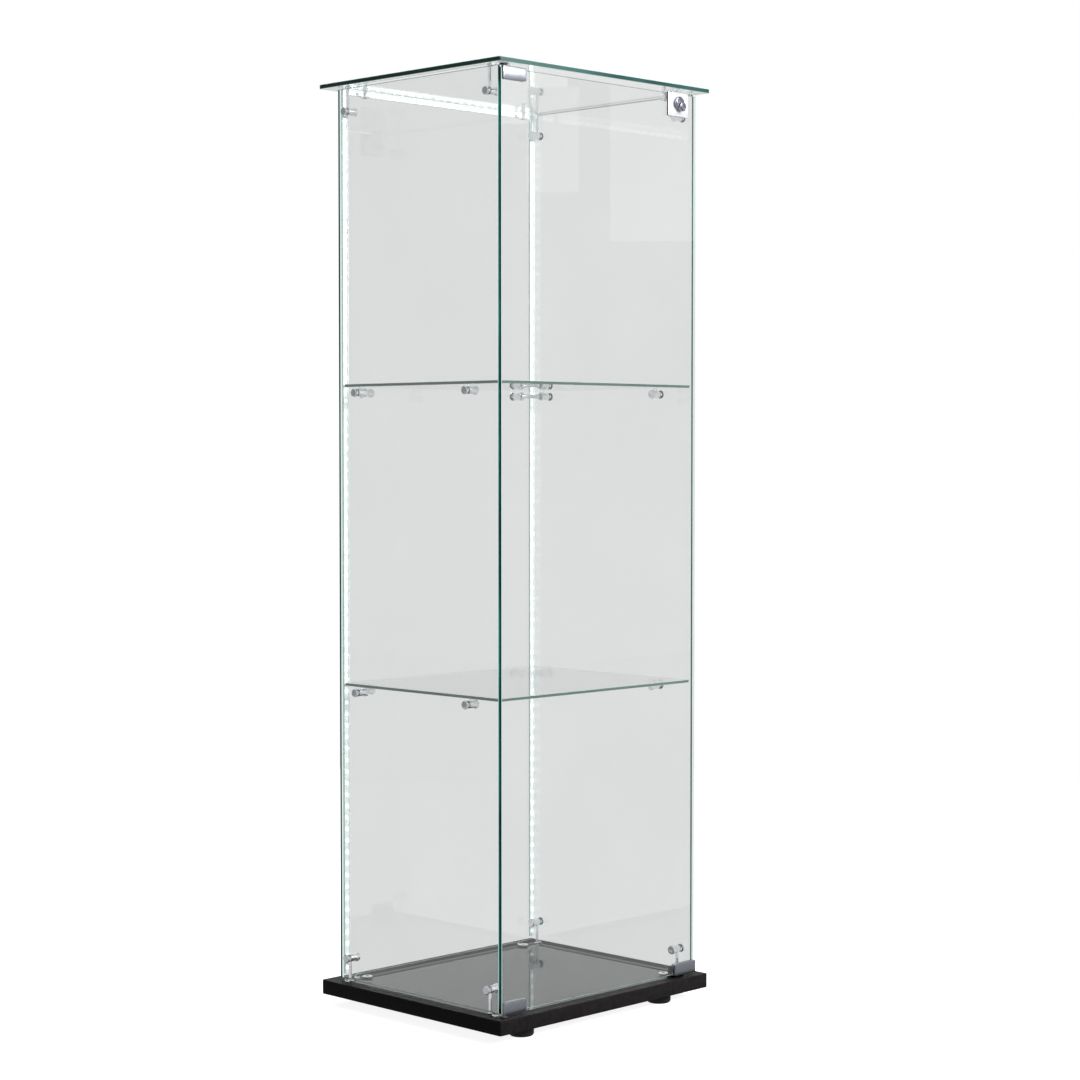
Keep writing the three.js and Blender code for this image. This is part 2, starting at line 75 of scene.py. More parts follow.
# ------------------------------------------------------------------ materials
def new_material(name):
    made = bpy.data.materials.new(name)
    made.use_nodes = True
    made.node_tree.nodes.clear()
    return made, made.node_tree


def add_noise(tree, scale, stretch=(1, 1, 1), detail=3.0):
    """Noise over the object's own coordinates."""
    place = tree.nodes.new("ShaderNodeTexCoord")
    mapping = tree.nodes.new("ShaderNodeMapping")
    mapping.inputs["Scale"].default_value = stretch
    noise = tree.nodes.new("ShaderNodeTexNoise")
    noise.inputs["Scale"].default_value = scale
    noise.inputs["Detail"].default_value = detail
    tree.links.new(place.outputs["Object"], mapping.inputs["Vector"])
    tree.links.new(mapping.outputs["Vector"], noise.inputs["Vector"])
    return noise.outputs["Fac"]


def add_ramp(tree, factor, first, second, low=0.35, high=0.65):
    ramp = tree.nodes.new("ShaderNodeValToRGB")
    ramp.color_ramp.elements[0].position = low
    ramp.color_ramp.elements[1].position = high
    ramp.color_ramp.elements[0].color = (*first, 1)
    ramp.color_ramp.elements[1].color = (*second, 1)
    tree.links.new(factor, ramp.inputs["Fac"])
    return ramp.outputs["Color"]


def add_range(tree, factor, low, high):
    spread = tree.nodes.new("ShaderNodeMapRange")
    spread.inputs["From Min"].default_value = 0.3
    spread.inputs["From Max"].default_value = 0.7
    spread.inputs["To Min"].default_value = low
    spread.inputs["To Max"].default_value = high
    tree.links.new(factor, spread.inputs["Value"])
    return spread.outputs["Result"]


def spaced(sockets):
    """Socket names as Blender writes them, from keyword arguments."""
    return {key.replace("_", " "): value for key, value in sockets.items()}


def show(tree, shader):
    """Sends a shader's output to the material's surface."""
    out = tree.nodes.new("ShaderNodeOutputMaterial")
    tree.links.new(shader, out.inputs["Surface"])


def add_shader(
    tree, first, second, roughness, scale, stretch=(1, 1, 1), bump=None, sockets=None
):
    """A Principled shader with colour and roughness that vary over the surface."""
    shader = tree.nodes.new("ShaderNodeBsdfPrincipled")
    factor = add_noise(tree, scale, stretch)
    tree.links.new(add_ramp(tree, factor, first, second), shader.inputs["Base Color"])
    tree.links.new(add_range(tree, factor, *roughness), shader.inputs["Roughness"])
    if bump:
        grain_scale, strength, distance = bump
        relief = tree.nodes.new("ShaderNodeBump")
        relief.inputs["Strength"].default_value = strength
        relief.inputs["Distance"].default_value = distance
        grain = add_noise(tree, grain_scale, stretch)
        tree.links.new(grain, relief.inputs["Height"])
        tree.links.new(relief.outputs["Normal"], shader.inputs["Normal"])
    for socket, value in (sockets or {}).items():
        shader.inputs[socket].default_value = value
    return shader


def surface(
    name, first, second, roughness, scale=60, stretch=(1, 1, 1), bump=None, **sockets
):
    made, tree = new_material(name)
    shader = add_shader(
        tree, first, second, roughness, scale, stretch, bump, spaced(sockets)
    )
    show(tree, shader.outputs[0])
    return made


def clear_surface(name, first, second, shadow, roughness=(0.0, 0.004), scale=5):
    """Clear glass or plastic that lets the lamps shine through it."""
    made, tree = new_material(name)
    sockets = {"Transmission Weight": 1.0, "IOR": 1.5}
    glass = add_shader(tree, first, second, roughness, scale, sockets=sockets)
    clear = tree.nodes.new("ShaderNodeBsdfTransparent")
    clear.inputs["Color"].default_value = (*shadow, 1)
    path = tree.nodes.new("ShaderNodeLightPath")
    mix = tree.nodes.new("ShaderNodeMixShader")
    tree.links.new(path.outputs["Is Shadow Ray"], mix.inputs["Fac"])
    tree.links.new(glass.outputs[0], mix.inputs[1])
    tree.links.new(clear.outputs[0], mix.inputs[2])
    show(tree, mix.outputs[0])
    return made


def upright_glow(tree, upright, lying):
    """A strength for faces that stand upright, fading to another for those that lie flat."""
    geometry = tree.nodes.new("ShaderNodeNewGeometry")
    parts = tree.nodes.new("ShaderNodeSeparateXYZ")
    tree.links.new(geometry.outputs["Normal"], parts.inputs["Vector"])
    steep = tree.nodes.new("ShaderNodeMath")
    steep.operation = "ABSOLUTE"
    tree.links.new(parts.outputs["Z"], steep.inputs[0])
    fade = tree.nodes.new("ShaderNodeMapRange")
    fade.inputs["From Min"].default_value = 0.2
    fade.inputs["From Max"].default_value = 0.6
    fade.inputs["To Min"].default_value = upright
    fade.inputs["To Max"].default_value = lying
    tree.links.new(steep.outputs[0], fade.inputs["Value"])
    return fade.outputs["Result"]


def glass_edge(name, dark, light, painted_glow=0.95, **sockets):
    """Polished edge: deep green from outside, with a painted glow from inside that stands for
    light caught in the pane behind it.

    Upright edges get a stronger painted glow than those that lie flat."""
    made, tree = new_material(name)
    named = {"IOR": 1.5, "Specular IOR Level": 0.12, **spaced(sockets)}
    outer = add_shader(tree, dark, light, (0.18, 0.3), 7, sockets=named)
    streaks = add_noise(tree, 40, (1, 1, 0.2))
    inner = tree.nodes.new("ShaderNodeEmission")
    bright = add_ramp(tree, streaks, (0.72, 0.95, 0.9), (0.95, 1.0, 0.99))
    tree.links.new(bright, inner.inputs["Color"])
    tree.links.new(upright_glow(tree, painted_glow, painted_glow * 0.12), inner.inputs["Strength"])
    side = tree.nodes.new("ShaderNodeNewGeometry")
    mix = tree.nodes.new("ShaderNodeMixShader")
    tree.links.new(side.outputs["Backfacing"], mix.inputs["Fac"])
    tree.links.new(outer.outputs[0], mix.inputs[1])
    tree.links.new(inner.outputs[0], mix.inputs[2])
    show(tree, mix.outputs[0])
    return made


def glass_arris():
    """The fine ground line along a pane's edges, painted light aqua as a highlight, with a
    painted glow where it stands upright.
    """
    made, tree = new_material("glass_arris")
    # Light aqua tones painted as the chamfer's highlight.
    dark, light = (0.20, 0.36, 0.32), (0.30, 0.46, 0.42)
    sockets = {"IOR": 1.5, "Emission Color": (0.75, 1.0, 0.94, 1)}
    shader = add_shader(tree, dark, light, (0.2, 0.35), 30, sockets=sockets)
    tree.links.new(upright_glow(tree, 0.6, 0.06), shader.inputs["Emission Strength"])
    show(tree, shader.outputs[0])
    return made


GLASS_FACE = clear_surface(
    "glass_face", (0.918, 0.926, 0.924), (0.932, 0.938, 0.936), (0.93, 0.95, 0.94)
)
SHELF_FACE = clear_surface(
    "shelf_face", (0.765, 0.79, 0.785), (0.78, 0.803, 0.80), (0.88, 0.90, 0.89)
)
# The edges' inside faces glow with painted light (emission), not with light from the lamps.
WALL_EDGE = glass_edge("wall_edge", (0.0, 0.02, 0.018), (0.01, 0.14, 0.12))
# The shelf edge also has a faint painted glow on its outside.
SHELF_EDGE = glass_edge(
    "shelf_edge",
    (0.03, 0.058, 0.05),
    (0.055, 0.10, 0.085),
    painted_glow=0.75,
    Emission_Color=(0.62, 0.85, 0.77, 1),
    Emission_Strength=0.115,
)
TOP_EDGE = glass_edge("top_edge", (0.006, 0.022, 0.020), (0.038, 0.105, 0.094))
ARRIS = glass_arris()
BOARD = surface(
    "board_laminate",
    (0.0110, 0.0099, 0.0104),
    (0.0160, 0.0144, 0.0152),
    (0.38, 0.5),
    scale=160,
    bump=(900, 0.12, 0.00002),
    IOR=1.15,
    Specular_IOR_Level=0.3,
)
FLOOR_SHEET = surface(
    "floor_sheet",
    (0.014, 0.0155, 0.016),
    (0.020, 0.022, 0.0225),
    (0.03, 0.06),
    scale=12,
    IOR=1.46,
    Specular_IOR_Level=0.29,
)
FOOT = surface(
    "foot_plastic",
    (0.008, 0.008, 0.008),
    (0.014, 0.014, 0.014),
    (0.5, 0.65),
    scale=300,
    bump=(1500, 0.4, 0.00006),
    Specular_IOR_Level=0.3,
)
CHROME = surface(
    "chrome",
    (0.72, 0.73, 0.76),
    (0.80, 0.81, 0.83),
    (0.07, 0.13),
    scale=150,
    bump=(400, 0.12, 0.00002),
    Metallic=1.0,
)
# Near-black metal painted into sockets, holes and the lock plate's sides as shade.
PAINTED_SHADE_METAL = surface(
    "painted_shade_metal",
    (0.03, 0.03, 0.032),
    (0.07, 0.07, 0.075),
    (0.3, 0.45),
    scale=300,
    Metallic=1.0,
)
SATIN = surface(
    "satin_plate",
    (0.25, 0.26, 0.30),
    (0.31, 0.32, 0.36),
    (0.28, 0.36),
    scale=120,
    stretch=(1, 1, 14),
    bump=(500, 0.2, 0.00002),
    Metallic=1.0,
)
LOCK_CHROME = surface(
    "lock_chrome",
    (0.86, 0.86, 0.88),
    (0.92, 0.92, 0.94),
    (0.16, 0.24),
    scale=110,
    bump=(420, 0.12, 0.00002),
    Metallic=0.55,
)
LOCK_TURNED = surface(
    "lock_turned",
    (0.30, 0.30, 0.36),
    (0.44, 0.44, 0.52),
    (0.10, 0.18),
    scale=90,
    bump=(420, 0.12, 0.00002),
    Metallic=1.0,
)
NYLON = surface(
    "grey_nylon",
    (0.028, 0.03, 0.03),
    (0.05, 0.052, 0.053),
    (0.35, 0.5),
    scale=200,
)
PAD = clear_surface(
    "clear_pad", (0.88, 0.92, 0.91), (0.94, 0.97, 0.96), (0.9, 0.94, 0.93), (0.08, 0.2), 90
)
MAGNET_BLACK = surface(
    "magnet_moulding",
    (0.012, 0.012, 0.013),
    (0.022, 0.022, 0.024),
    (0.45, 0.6),
    scale=400,
    bump=(1200, 0.4, 0.00005),
    Specular_IOR_Level=0.3,
)
LED_TAPE = surface(
    "led_tape",
    (0.66, 0.70, 0.70),
    (0.72, 0.76, 0.76),
    (0.4, 0.5),
    scale=90,
    Emission_Color=(0.93, 1.0, 0.99, 1),
    Emission_Strength=0.36,
)
LED_CHIP = surface(
    "led_chip",
    (0.9, 0.93, 0.93),
    (0.96, 0.98, 0.98),
    (0.3, 0.4),
    scale=90,
    Emission_Color=(0.96, 1.0, 1.0, 1),
    Emission_Strength=0.9,
)
LED_RAIL = surface(
    "led_sleeve",
    (0.72, 0.80, 0.79),
    (0.80, 0.87, 0.86),
    (0.3, 0.42),
    scale=90,
    Emission_Color=(0.88, 1.0, 0.98, 1),
    Emission_Strength=0.3,
)


# ------------------------------------------------------------------ meshes
def link(name, mesh, materials):
    made = bpy.data.objects.new(name, mesh)
    bpy.context.scene.collection.objects.link(made)
    kinds = [face.material_index for face in mesh.polygons]
    mesh.materials.clear()
    for material in materials:
        mesh.materials.append(material)
    mesh.polygons.foreach_set("material_index", kinds)
    return made


def shade(mesh, angle=35):
    for face in mesh.polygons:
        face.use_smooth = True
    mesh.set_sharp_from_angle(angle=math.radians(angle))


def turn_to(axis):
    """Sends the local third direction to a world axis and keeps the handedness."""
    order = {"x": (1, 2, 0), "y": (2, 0, 1), "z": (0, 1, 2)}[axis]
    matrix = Matrix.Diagonal((0, 0, 0, 1))
    for local, world in enumerate(order):
        matrix[world][local] = 1
    return matrix


def circle(centre, radius, count=40):
    steps = [2 * math.pi * i / count for i in range(count)]
    a, b = centre
    return [(a + radius * math.cos(s), b + radius * math.sin(s)) for s in steps]


def rounded(low, high, radius, count=6):
    """Outline of a rectangle with round corners."""
    points = []
    middles = [
        (high[0] - radius, high[1] - radius, 0),
        (low[0] + radius, high[1] - radius, 1),
        (low[0] + radius, low[1] + radius, 2),
        (high[0] - radius, low[1] + radius, 3),
    ]
    for a, b, quarter in middles:
        for i in range(count + 1):
            turn = math.pi / 2 * (quarter + i / count)
            points.append((a + radius * math.cos(turn), b + radius * math.sin(turn)))
    return points


def sheet_mesh(name, axis, levels, outline, holes=(), bevel=0.4, steps=1):
    """A flat plate with an outline, round holes and small bevels, in millimetres."""
    low, high = levels
    curve = bpy.data.curves.new(name, "CURVE")
    curve.dimensions = "2D"
    curve.fill_mode = "BOTH"
    curve.extrude = ((high - low) / 2 - bevel) * MM
    curve.bevel_depth = bevel * MM
    curve.bevel_resolution = steps - 1
    curve.offset = -bevel * MM
    for points in [outline, *holes]:
        spline = curve.splines.new("POLY")
        spline.points.add(len(points) - 1)
        for point, (a, b) in zip(spline.points, points):
            point.co = (a * MM, b * MM, 0, 1)
        spline.use_cyclic_u = True
    holder = bpy.data.objects.new(name + "_curve", curve)
    bpy.context.scene.collection.objects.link(holder)
    bpy.context.view_layer.update()
    graph = bpy.context.evaluated_depsgraph_get()
    mesh = bpy.data.meshes.new_from_object(holder.evaluated_get(graph))
    bpy.data.objects.remove(holder)
    bpy.data.curves.remove(curve)
    work = bmesh.new()
    work.from_mesh(mesh)
    bmesh.ops.remove_doubles(work, verts=work.verts, dist=2e-6)
    bmesh.ops.recalc_face_normals(work, faces=work.faces)
    for face in work.faces:
        tilt = abs(face.normal.z)
        face.material_index = 0 if tilt > 0.99 else 1 if tilt < 0.1 else 2
    bmesh.ops.translate(work, verts=work.verts, vec=(0, 0, (low + high) / 2 * MM))
    bmesh.ops.transform(work, matrix=turn_to(axis), verts=work.verts)
    work.to_mesh(mesh)
    work.free()
    mesh.name = name
    shade(mesh, 30)
    return mesh


def soften(profile, radius):
    """Rounds the inner corners of a turned profile of (radius, level, material)."""
    made = [profile[0]]
    for before, corner, after in zip(profile, profile[1:], profile[2:]):
        here = Vector(corner[:2])
        back, forth = Vector(before[:2]) - here, Vector(after[:2]) - here
        if min(back.length, forth.length) < 1e-6:
            made.append(corner)
            continue
        reach = min(radius, 0.4 * back.length, 0.4 * forth.length)
        start, stop = here + back.normalized() * reach, here + forth.normalized() * reach
        for t in (0, 0.33, 0.67, 1):
            spot = start * (1 - t) ** 2 + here * 2 * t * (1 - t) + stop * t * t
            made.append((spot.x, spot.y, corner[2] if t > 0.5 else before[2]))
    made.append(profile[-1])
    return made


def turned_mesh(name, axis, centre, profile, sides=40, radius=0.35, tube=False):
    """A lathed solid. Each profile point is (radius, level, material of what follows).

    A tube's profile runs once round the wall of its bore and back to its first point."""
    full = [(p + (0,))[:3] for p in profile]
    if tube:
        full.append(full[0])
    else:
        full = [(0, full[0][1], full[0][2]), *full, (0, full[-1][1], full[-1][2])]
    points = soften(full, radius)
    work = bmesh.new()
    rings = []
    for size, level, _ in points:
        if size < 1e-6:
            rings.append([work.verts.new((0, 0, level * MM))])
            continue
        turns = [2 * math.pi * i / sides for i in range(sides)]
        ring = [
            work.verts.new((size * MM * math.cos(t), size * MM * math.sin(t), level * MM))
            for t in turns
        ]
        rings.append(ring)
    for (first, second), point in zip(zip(rings, rings[1:]), points):
        for i in range(sides):
            j = (i + 1) % sides
            if len(first) == 1 and len(second) == 1:
                continue
            if len(first) == 1:
                corners = (first[0], second[j], second[i])
            elif len(second) == 1:
                corners = (first[i], first[j], second[0])
            else:
                corners = (first[i], first[j], second[j], second[i])
            work.faces.new(corners).material_index = point[2]
    bmesh.ops.remove_doubles(work, verts=work.verts, dist=1e-7)
    bmesh.ops.recalc_face_normals(work, faces=work.faces)
    bmesh.ops.transform(work, matrix=turn_to(axis), verts=work.verts)
    order = {"x": (1, 2), "y": (0, 2), "z": (0, 1)}[axis]
    shift = Vector((0, 0, 0))
    shift[order[0]], shift[order[1]] = centre[0] * MM, centre[1] * MM
    bmesh.ops.translate(work, verts=work.verts, vec=shift)
    mesh = bpy.data.meshes.new(name)
    work.to_mesh(mesh)
    work.free()
    shade(mesh)
    return mesh


def block_mesh(name, low, high, bevel=0.3, steps=2):
    """A box with rounded edges, in millimetres."""
    work = bmesh.new()
    bmesh.ops.create_cube(work, size=1)
    size = [h - l for l, h in zip(low, high)]
    middle = [(h + l) / 2 for l, h in zip(low, high)]
    for vert in work.verts:
        vert.co = Vector([(m + s * c) * MM for m, s, c in zip(middle, size, vert.co)])
    width = min(bevel, 0.4 * min(size)) * MM
    bmesh.ops.bevel(
        work, geom=work.edges[:], offset=width, segments=steps, affect="EDGES", profile=0.5
    )
    mesh = bpy.data.meshes.new(name)
    work.to_mesh(mesh)
    work.free()
    shade(mesh)
    return mesh


def strut_mesh(name, start, stop, radius, tip=None, sides=32):
    """A round bar between two points, which can taper to its tip, in millimetres."""
    start, stop = Vector(start) * MM, Vector(stop) * MM
    run = stop - start
    work = bmesh.new()
    bmesh.ops.create_cone(
        work,
        cap_ends=True,
        segments=sides,
        radius1=radius * MM,
        radius2=(radius if tip is None else tip) * MM,
        depth=run.length,
    )
    turn = run.to_track_quat("Z", "Y").to_matrix().to_4x4()
    bmesh.ops.transform(work, matrix=turn, verts=work.verts)
    bmesh.ops.translate(work, verts=work.verts, vec=(start + stop) / 2)
    mesh = bpy.data.meshes.new(name)
    work.to_mesh(mesh)
    work.free()
    shade(mesh)
    return mesh


def merged(name, *meshes):
    """One mesh from several, each keeping its own material indices."""
    work = bmesh.new()
    for mesh in meshes:
        work.from_mesh(mesh)
    made = bpy.data.meshes.new(name)
    work.to_mesh(made)
    work.free()
    shade(made)
    return made


def carve(piece, *cutters):
    """Cuts meshes out of a piece."""
    for index, cutter in enumerate(cutters):
        tool = link(f"{piece.name}_cutter_{index}", cutter, [])
        modifier = piece.modifiers.new("cut", "BOOLEAN")
        modifier.operation = "DIFFERENCE"
        modifier.solver = "EXACT"
        modifier.object = tool
        bpy.context.view_layer.update()
        graph = bpy.context.evaluated_depsgraph_get()
        mesh = bpy.data.meshes.new_from_object(piece.evaluated_get(graph))
        piece.modifiers.clear()
        piece.data = mesh
        bpy.data.objects.remove(tool)
    shade(piece.data, 30)


def piece(name, mesh, materials, body, slot, *nodes):
    made = link(name, mesh, materials)
    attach(made, body)
    if nodes:
        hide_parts(*nodes)
    return made


# ------------------------------------------------------------------ base and feet
bolt_places = [centre_of(f"bottom_bolt_{corner}", 0, 1) for corner in CORNERS]

board_low, board_high = box_mm("base_board")
outline = rounded(board_low[:2], board_high[:2], 3)
PIVOT = centre_of("lower_hinge_bush", 0, 1)
holes = [circle(place, BOLT_HOLE) for place in bolt_places] + [circle(PIVOT, BUSH_HOLE)]
levels = (board_low[2], board_high[2])
board_mesh = sheet_mesh("board", "z", levels, outline, holes, bevel=0.8, steps=3)
board = piece("board", board_mesh, [BOARD], "case", "base_board", "base_board")
for face in board.data.polygons:
    face.material_index = 0
POCKET_RADIUS, POCKET_DEPTH = 5.6, 4
profile = [(POCKET_RADIUS, levels[0] - 1), (POCKET_RADIUS, levels[0] + POCKET_DEPTH)]
pockets = [turned_mesh("pocket", "z", place, profile, radius=0) for place in bolt_places]
carve(board, *pockets)

SHEET_HOLE = 2.8
SHEET_LIFT, SHEET_TOP = 0.02, 0.25  # underside and face of the sheet above the board
inner_x = box_mm("right_side_glass")[0][0]
back_inner_y = box_mm("back_glass")[0][1]
wall_front_y = box_mm("right_side_glass")[0][1]
outline = rounded((-inner_x + 0.5, wall_front_y), (inner_x - 0.5, back_inner_y - 0.4), 1)
holes = [circle(place, SHEET_HOLE) for place in bolt_places]
levels = (board_high[2] + SHEET_LIFT, board_high[2] + SHEET_TOP)
mesh = sheet_mesh("floor_sheet", "z", levels, outline, holes, bevel=0.08)
sheet = piece("floor_sheet", mesh, [FLOOR_SHEET], "case", "base_board")
for face in sheet.data.polygons:
    face.material_index = 0

for corner in CORNERS:
    low, high = box_mm(f"foot_{corner}")
    centre = centre_of(f"foot_{corner}", 0, 1)
    size = (high[0] - low[0]) / 2
    profile = [
        (size - 2.2, 0),
        (size - 0.6, 1.6),
        (size, 3.5),
        (size, high[2] - 5.2),
        (size - 1.2, high[2] - 4.6),
        (size - 1.2, high[2] - 3.4),
        (size, high[2] - 2.8),
        (size, high[2]),
    ]
    mesh = turned_mesh(f"foot_{corner}", "z", centre, profile, sides=64, radius=0.5)
    piece(f"round_foot_{corner}", mesh, [FOOT], "case", "feet", f"foot_{corner}")

# ------------------------------------------------------------------ glass
low, high = box_mm("top_glass")
outline = rounded(low[:2], high[:2], 3)
holes = [circle(place, BOLT_HOLE) for place in bolt_places] + [circle(PIVOT, BUSH_HOLE)]
mesh = sheet_mesh("top_pane", "z", (low[2], high[2]), outline, holes, bevel=0.5)
piece("top_pane", mesh, [GLASS_FACE, TOP_EDGE, ARRIS], "case", "glass", "top_glass")


for side, _ in SIDES:
    low, high = box_mm(f"{side}_side_glass")
    nodes = [f"bottom_connector_front_{side}", f"bottom_connector_back_{side}"]
    nodes += [f"top_connector_front_{side}", f"top_connector_back_{side}"]
    for level in LEVELS:
        nodes += [f"{level}_shelf_connector_{side}", f"{level}_shelf_pin_{side}"]
    holes = [circle(centre_of(node, 1, 2), CONNECTOR_HOLE) for node in nodes]
    outline = rounded((low[1], low[2]), (high[1], high[2]), PANE_CORNER, 3)
    mesh = sheet_mesh(f"{side}_pane", "x", (low[0], high[0]), outline, holes)
    materials = [GLASS_FACE, WALL_EDGE, ARRIS]
    piece(f"{side}_pane", mesh, materials, "case", "glass", f"{side}_side_glass")

low, high = box_mm("back_glass")
tie_places = []
for level in LEVELS:
    z = centre_of(f"{level}_shelf_connector_left", 1, 2)[1]
    for side, sign in SIDES:
        tie_low, tie_high = box_mm(f"{level}_shelf_tie_{side}")
        outer = tie_low[0] if sign > 0 else tie_high[0]
        tie_places.append((level, side, sign, outer + sign * BARREL_RADIUS, z))
holes = [circle((z, x), CONNECTOR_HOLE) for _, _, _, x, z in tie_places]
outline = rounded((low[2], low[0]), (high[2], high[0]), PANE_CORNER, 3)
mesh = sheet_mesh("back_pane", "y", (low[1], high[1]), outline, holes)
piece("back_pane", mesh, [GLASS_FACE, WALL_EDGE, ARRIS], "case", "glass", "back_glass")

plug_x, plug_z = centre_of("lock_plug", 0, 2)
low, high = box_mm("door_glass")
outline = rounded((low[2], low[0]), (high[2], high[0]), PANE_CORNER, 3)
holes = [circle((plug_z, plug_x), LOCK_HOLE)]
mesh = sheet_mesh("door_pane", "y", (low[1], high[1]), outline, holes)
piece("door_pane", mesh, [GLASS_FACE, WALL_EDGE, ARRIS], "door", "glass", "door_glass")
DOOR_FRONT, DOOR_BACK = low[1], high[1]

for level in LEVELS:
    low, high = box_mm(f"{level}_shelf")
    outline = rounded(low[:2], high[:2], 2)
    mesh = sheet_mesh(f"{level}_shelf_pane", "z", (low[2], high[2]), outline)
    materials = [SHELF_FACE, SHELF_EDGE, ARRIS]
    name, node = f"{level}_shelf_pane", f"{level}_shelf"
    piece(name, mesh, materials, node, "glass", node)


# ------------------------------------------------------------------ connectors and rods
def connector_profile(low, high):
    """Turned fitting from its inner end (low) to its outer cap (high), along its axis.

    Material 0 is metal and 1 the clear washers on the glass."""
    shoulder = low + BARREL_LENGTH
    return [
        (2.1, low + 0.5, 0),
        (2.3, low, 0),
        (6.0, low, 0),
        (BARREL_RADIUS, low + 0.5, 0),
        (BARREL_RADIUS, low + 3.6, 0),
        (5.5, low + 4.4, 0),
        (5.2, low + 5.0, 0),
        (5.2, shoulder - 1.4, 1),
        (5.0, shoulder - 1.4, 1),
        (5.0, shoulder, 0),
        (3.4, shoulder, 0),
        (3.4, high - 3.3, 1),
        (6.0, high - 3.3, 1),
        (6.0, high - 2.4, 0),
        (6.1, high - 2.4, 0),
        (6.1, high - 1.1, 0),
        (5.2, high - 0.1, 0),
        (2.0, high, 0),
    ]


FITTING = [CHROME, PAD]


def side_connector(node):
    low, high = box_mm(node)
    sign = 1 if low[0] > 0 else -1
    inner = min(abs(low[0]), abs(high[0]))
    outer = max(abs(low[0]), abs(high[0]))
    profile = [(r, sign * level, m) for r, level, m in connector_profile(inner, outer)]
    if sign < 0:
        radii = [(p[0], p[1]) for p in reversed(profile)]
        marks = [p[2] for p in reversed(profile)][1:] + [profile[0][2]]
        profile = [(r, level, m) for (r, level), m in zip(radii, marks)]
    centre = ((low[1] + high[1]) / 2, (low[2] + high[2]) / 2)
    return turned_mesh(node, "x", centre, profile)


for corner in CORNERS:
    for end in ("bottom", "top"):
        node = f"{end}_connector_{corner}"
        piece(f"{end}_barrel_{corner}", side_connector(node), FITTING, "case", "fittings", node)
    centre = centre_of(f"bottom_bolt_{corner}", 0, 1)
    low, high = box_mm(f"bottom_bolt_{corner}")
    base = low[2]
    washer = board_high[2] + GAP
    # Material 1 is painted shade in the socket under the bolt.
    profile = [
        (1.9, base + 1.8, 1),
        (1.9, base, 0),
        (4.6, base, 0),
        (5.0, base + 0.5, 0),
        (5.0, base + 3.4, 0),
        (ROD_RADIUS, base + 3.4, 0),
        (ROD_RADIUS, washer, 0),
        (4.4, washer, 0),
        (4.4, washer + 1.2, 0),
        (ROD_RADIUS, washer + 1.6, 0),
        (ROD_RADIUS, high[2], 0),
    ]
    mesh = turned_mesh(f"bottom_rod_{corner}", "z", centre, profile)
    name, node = f"bottom_rod_{corner}", f"bottom_bolt_{corner}"
    piece(name, mesh, [CHROME, PAINTED_SHADE_METAL], "case", "fittings", node)
    low, high = box_mm(f"top_bolt_{corner}")
    cap = box_mm("top_glass")[1][2] + GAP
    washer = box_mm("top_glass")[0][2] - GAP
    # Material 1 is painted shade in the dimple on top.
    profile = [
        (ROD_RADIUS, low[2], 0),
        (ROD_RADIUS, washer - 1.6, 0),
        (4.4, washer - 1.2, 0),
        (4.4, washer, 0),
        (ROD_RADIUS, washer, 0),
        (ROD_RADIUS, cap, 0),
        (6.0, cap, 0),
        (5.8, cap + 0.9, 0),
        (4.6, high[2] - 0.2, 0),
        (2.4, high[2], 1),
        (2.0, high[2] - 1.2, 1),
    ]
    mesh = turned_mesh(f"top_rod_{corner}", "z", centre, profile)
    name, node = f"top_rod_{corner}", f"top_bolt_{corner}"
    piece(name, mesh, [CHROME, PAINTED_SHADE_METAL], "case", "fittings", node)

for level in LEVELS:
    for side, sign in SIDES:
        for kind, shown in (("connector", "holder"), ("pin", "rest")):
            node = f"{level}_shelf_{kind}_{side}"
            name = f"{level}_shelf_{shown}_{side}"
            piece(name, side_connector(node), FITTING, "case", "fittings", node)
            low, high = box_mm(node)
            inner = min(abs(low[0]), abs(high[0]))
            y, z = centre_of(node, 1, 2)
            shelf_low = box_mm(f"{level}_shelf")[0][2]
            profile = [(2.6, z + 4.9), (3.0, shelf_low - 0.6), (2.6, shelf_low - 0.05)]
            centre = (sign * (inner + 9.5), y)
            mesh = turned_mesh(f"{name}_pad", "z", centre, profile, radius=0.3)
            piece(f"{name}_pad", mesh, [PAD], "case", "fittings")

for level, side, sign, x, z in tie_places:
    node = f"{level}_shelf_tie_{side}"
    low, high = box_mm(node)
    inner_y = back_inner_y - GAP - BARREL_LENGTH
    profile = connector_profile(inner_y, high[1])[1:]
    barrel = turned_mesh("tie_barrel", "y", (x, z), profile)
    tip = high[0] if sign > 0 else low[0]
    target = centre_of(f"{level}_shelf_connector_{side}", 1, 2)[0]
    start = (x, inner_y + 2, z)
    stop = (tip - sign * 0.9, target + 0.6, z)
    bar = strut_mesh("tie_bar", start, stop, TIE_RADIUS)
    run = (Vector(stop) - Vector(start)).normalized()
    neck = Vector(start) + run * 8.5
    collar_a = strut_mesh("tie_collar", start, neck, 5.2, TIE_RADIUS)
    neck, end = Vector(stop) - run * 5.5, Vector(stop) - run * 0.8
    collar_b = strut_mesh("tie_collar", neck, end, TIE_RADIUS, 4.4)
    mesh = merged(f"{level}_tie_{side}", barrel, bar, collar_a, collar_b)
    piece(f"{level}_tie_{side}", mesh, FITTING, "case", "fittings", node)

